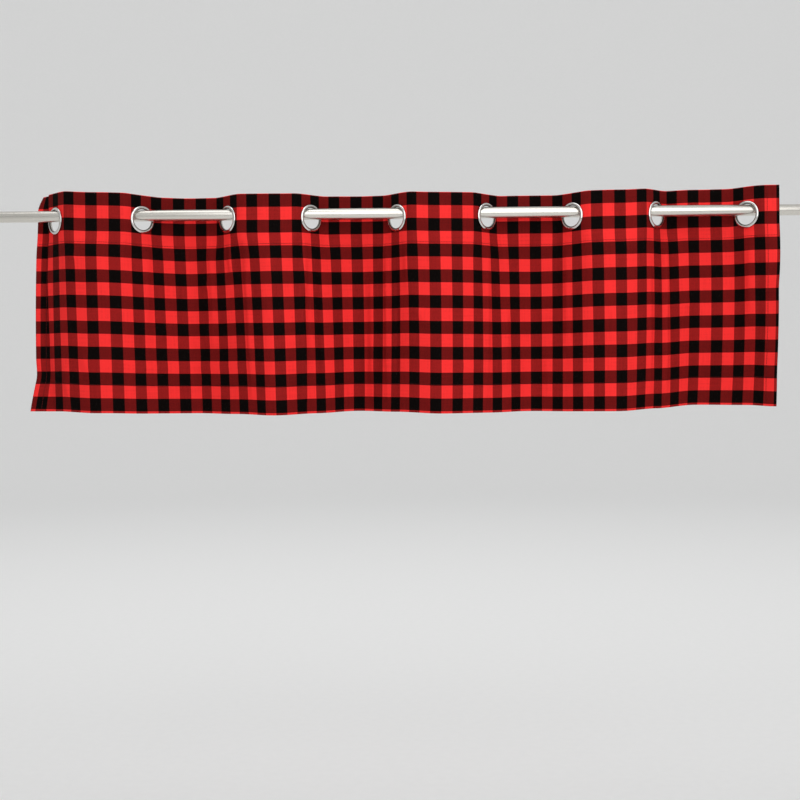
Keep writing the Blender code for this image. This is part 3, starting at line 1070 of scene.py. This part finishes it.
# %% Spin the rings and place them
def spun_ring(section, place):
    """A section spun once around Z and closed, then moved to its place."""
    ring = bmesh.new()
    verts = [ring.verts.new((radius, 0.0, height)) for radius, height in section]
    edges = [ring.edges.new((a, b)) for a, b in zip(verts, [*verts[1:], verts[0]])]
    bmesh.ops.spin(
        ring,
        geom=[*verts, *edges],
        axis=(0.0, 0.0, 1.0),
        cent=(0.0, 0.0, 0.0),
        angle=math.tau,
        steps=RING_STEPS,
        use_merge=True,
    )
    bmesh.ops.remove_doubles(ring, verts=ring.verts, dist=1e-6)
    bmesh.ops.recalc_face_normals(ring, faces=ring.faces)
    section_layer = ring.loops.layers.uv.new("section")
    for face in ring.faces:
        for loop in face.loops:
            loop[section_layer].uv = (loop.vert.co.xy.length, loop.vert.co.z)
    bmesh.ops.transform(ring, verts=ring.verts, matrix=place)
    return ring


for number, eyelet in enumerate(EYELETS):
    place = eyelet_frame(number, eyelet)
    for kind, section in (("front", face_ring_section()), ("back", washer_section())):
        made = piece_from(
            f"nickel_{kind}_ring_{number + 1}",
            spun_ring(section, place),
            NICKEL,
            [f"eyelet_{kind}_{number + 1}"],
        )
        made.data.set_sharp_from_angle(angle=math.radians(50))
print("eyelets made:", len(EYELETS))

# %% [markdown]
# ## Floor, light and camera
#
# The valance hangs over a pale floor that sweeps up behind it, in an even, bright studio. A wide
# soft light in front gives the folds their gentle shade, a second one fills from above, and a large
# third one keeps the background even. The sky is pale and dim, so that the metal has some dark to
# reflect.

# %% Floor
FLOOR_PALE = (0.91, 0.91, 0.905, 1.0)
FLOOR_SHADE = (0.87, 0.87, 0.865, 1.0)
FLOOR_HEIGHT = -1.30
FLOOR_REACH = 9.0
SWEEP_RADIUS = 7.5
SWEEP_STEPS = 24
ROUND_STEPS = 96


def floor_material():
    paint = Paint("pale_floor", {})
    place = paint.object_place()
    grain = paint.noise(place, 40.0, 3.0)
    lit = paint.colour(grain, FLOOR_SHADE, FLOOR_PALE)
    return paint.finish(Base_Color=lit, Roughness=0.75 + grain * 0.15)


def floor_shape():
    """A round floor whose far rim sweeps up, so that no horizon shows behind the piece."""
    sweep = [
        (FLOOR_REACH + SWEEP_RADIUS * math.sin(angle), SWEEP_RADIUS * (1.0 - math.cos(angle)))
        for angle in np.linspace(0.0, math.pi / 2.0, SWEEP_STEPS)
    ]
    shape = bmesh.new()
    outline = [(0.0, 0.0), *sweep]
    section = [shape.verts.new((reach, 0.0, FLOOR_HEIGHT + rise)) for reach, rise in outline]
    edges = [shape.edges.new(pair) for pair in zip(section, section[1:])]
    bmesh.ops.spin(
        shape,
        geom=[*section, *edges],
        axis=(0.0, 0.0, 1.0),
        cent=(0.0, 0.0, 0.0),
        angle=math.tau,
        steps=ROUND_STEPS,
        use_merge=True,
    )
    bmesh.ops.remove_doubles(shape, verts=shape.verts, dist=1e-4)
    bmesh.ops.recalc_face_normals(shape, faces=shape.faces)
    if max(shape.faces, key=lambda face: face.calc_area()).normal.z < 0.0:
        bmesh.ops.reverse_faces(shape, faces=shape.faces)
    return shape


floor_mesh = bpy.data.meshes.new("pale_floor")
bowl = floor_shape()
bowl.to_mesh(floor_mesh)
bowl.free()
floor_mesh.materials.append(floor_material())
floor_mesh.shade_smooth()
floor = bpy.data.objects.new("pale_floor", floor_mesh)
bpy.context.scene.collection.objects.link(floor)
print("floor laid")


# %% Lights and sky
def soft_light(name, place, target, size, power):
    """A rectangular soft light at a place, aimed at a target."""
    lamp = bpy.data.lights.new(name, "AREA")
    lamp.shape = "RECTANGLE"
    lamp.size, lamp.size_y = size
    lamp.energy = power
    holder = bpy.data.objects.new(name, lamp)
    holder.location = place
    aim = Vector(target) - Vector(place)
    holder.rotation_euler = aim.to_track_quat("-Z", "Y").to_euler()
    bpy.context.scene.collection.objects.link(holder)
    return holder


soft_light("front_softbox", (0.45, -2.1, 0.70), (0.0, 0.0, -0.10), (2.7, 2.6), 33.0)
soft_light("top_softbox", (-0.3, -0.6, 2.4), (0.0, 0.0, -0.1), (3.0, 1.2), 14.0)
soft_light("background_softbox", (0.0, -1.0, 5.0), (0.0, 13.0, 7.5), (9.0, 3.0), 440.0)

SKY_COLOUR = (0.96, 0.965, 0.97, 1.0)
SKY_STRENGTH = 0.60

world = bpy.data.worlds.new("pale_studio")
bpy.context.scene.world = world
world.use_nodes = True
sky = world.node_tree.nodes["Background"]
sky.inputs["Color"].default_value = SKY_COLOUR
sky.inputs["Strength"].default_value = SKY_STRENGTH
bpy.context.scene.view_settings.view_transform = "Standard"
print("lights set")

# %% Camera
LENS = 54.0
SENSOR = 36.0
CAMERA_PLACE = (-0.0015, -2.4, -0.373)
CAMERA_ROLL = math.radians(0.54)

camera_data = bpy.data.cameras.new("photo_view")
camera_data.lens = LENS
camera_data.sensor_width = SENSOR
camera_data.dof.use_dof = False
camera = bpy.data.objects.new("photo_view", camera_data)
turn = Matrix.Rotation(CAMERA_ROLL, 4, "Y") @ Matrix.Rotation(math.pi / 2.0, 4, "X")
camera.matrix_world = Matrix.Translation(CAMERA_PLACE) @ turn
bpy.context.scene.collection.objects.link(camera)
bpy.context.scene.camera = camera
print("camera at", CAMERA_PLACE)

# %% [markdown]
# ## Finish
#
# The view layer is brought up to date at the end.

# %% Update the view layer
bpy.context.view_layer.update()
